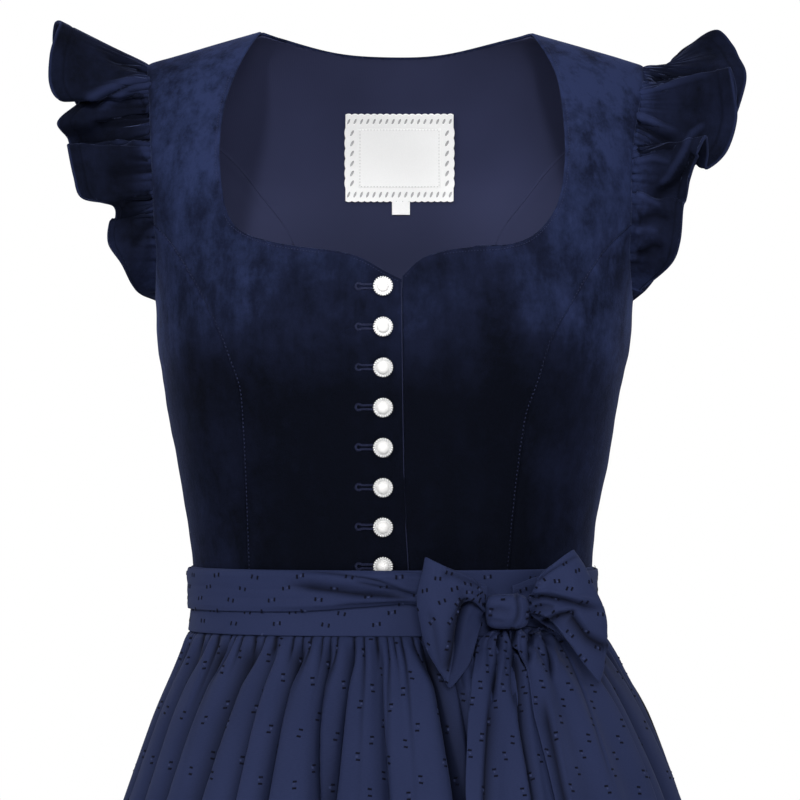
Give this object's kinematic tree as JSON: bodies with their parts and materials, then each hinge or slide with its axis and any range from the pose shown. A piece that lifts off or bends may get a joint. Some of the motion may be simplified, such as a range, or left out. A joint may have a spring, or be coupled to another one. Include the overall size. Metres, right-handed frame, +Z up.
{
  "type": "dirndl",
  "caption": "Sleeveless velvet dirndl with armhole ruffles, buttoned bodice, gathered skirt and a tied apron, in its worn form with no wearer.",
  "frame": {"origin": "midway between the shoulders at the height of the shoulder line, where the wearer's shoulders hold the dress", "axes": "+Z up, -Y towards the front of the dress, +X towards the wearer's left"},
  "size_m": [0.6351, 0.5187, 1.0235],
  "materials": {
    "velvet": "soft cotton velvet",
    "lining": "plain matt lining",
    "skirt_cloth": "plain matt cotton",
    "apron_cloth": "fine cloth with woven dots",
    "pearl": "pearl dome in a beaded metal rim",
    "label_cloth": "white woven label"
  },
  "bodies": {
    "root": {"front_centre_right": "velvet", "front_centre_left": "velvet", "button_stand": "velvet", "front_side_right": "velvet", "front_side_left": "velvet", "back_centre": "velvet", "lining_back_centre": "lining", "back_side_right": "velvet", "lining_back_side_right": "lining", "back_side_left": "velvet", "lining_back_side_left": "lining", "label": "label_cloth", "size_tab": "label_cloth", "button_1": "pearl", "button_2": "pearl", "button_3": "pearl", "button_4": "pearl", "button_5": "pearl", "button_6": "pearl", "button_7": "pearl", "button_8": "pearl", "skirt_front": "skirt_cloth", "skirt_back": "skirt_cloth", "apron_panel": "apron_cloth", "apron_waistband": "apron_cloth", "tie_front_right": "apron_cloth", "tie_front_left": "apron_cloth", "tie_back": "apron_cloth", "bow_knot": "apron_cloth", "bow_loop_right": "apron_cloth", "bow_loop_left": "apron_cloth", "bow_tail_lower": "apron_cloth", "bow_tail_upper": "apron_cloth", "ruffle_right": "velvet", "ruffle_left": "velvet"}
  },
  "joints": []
}
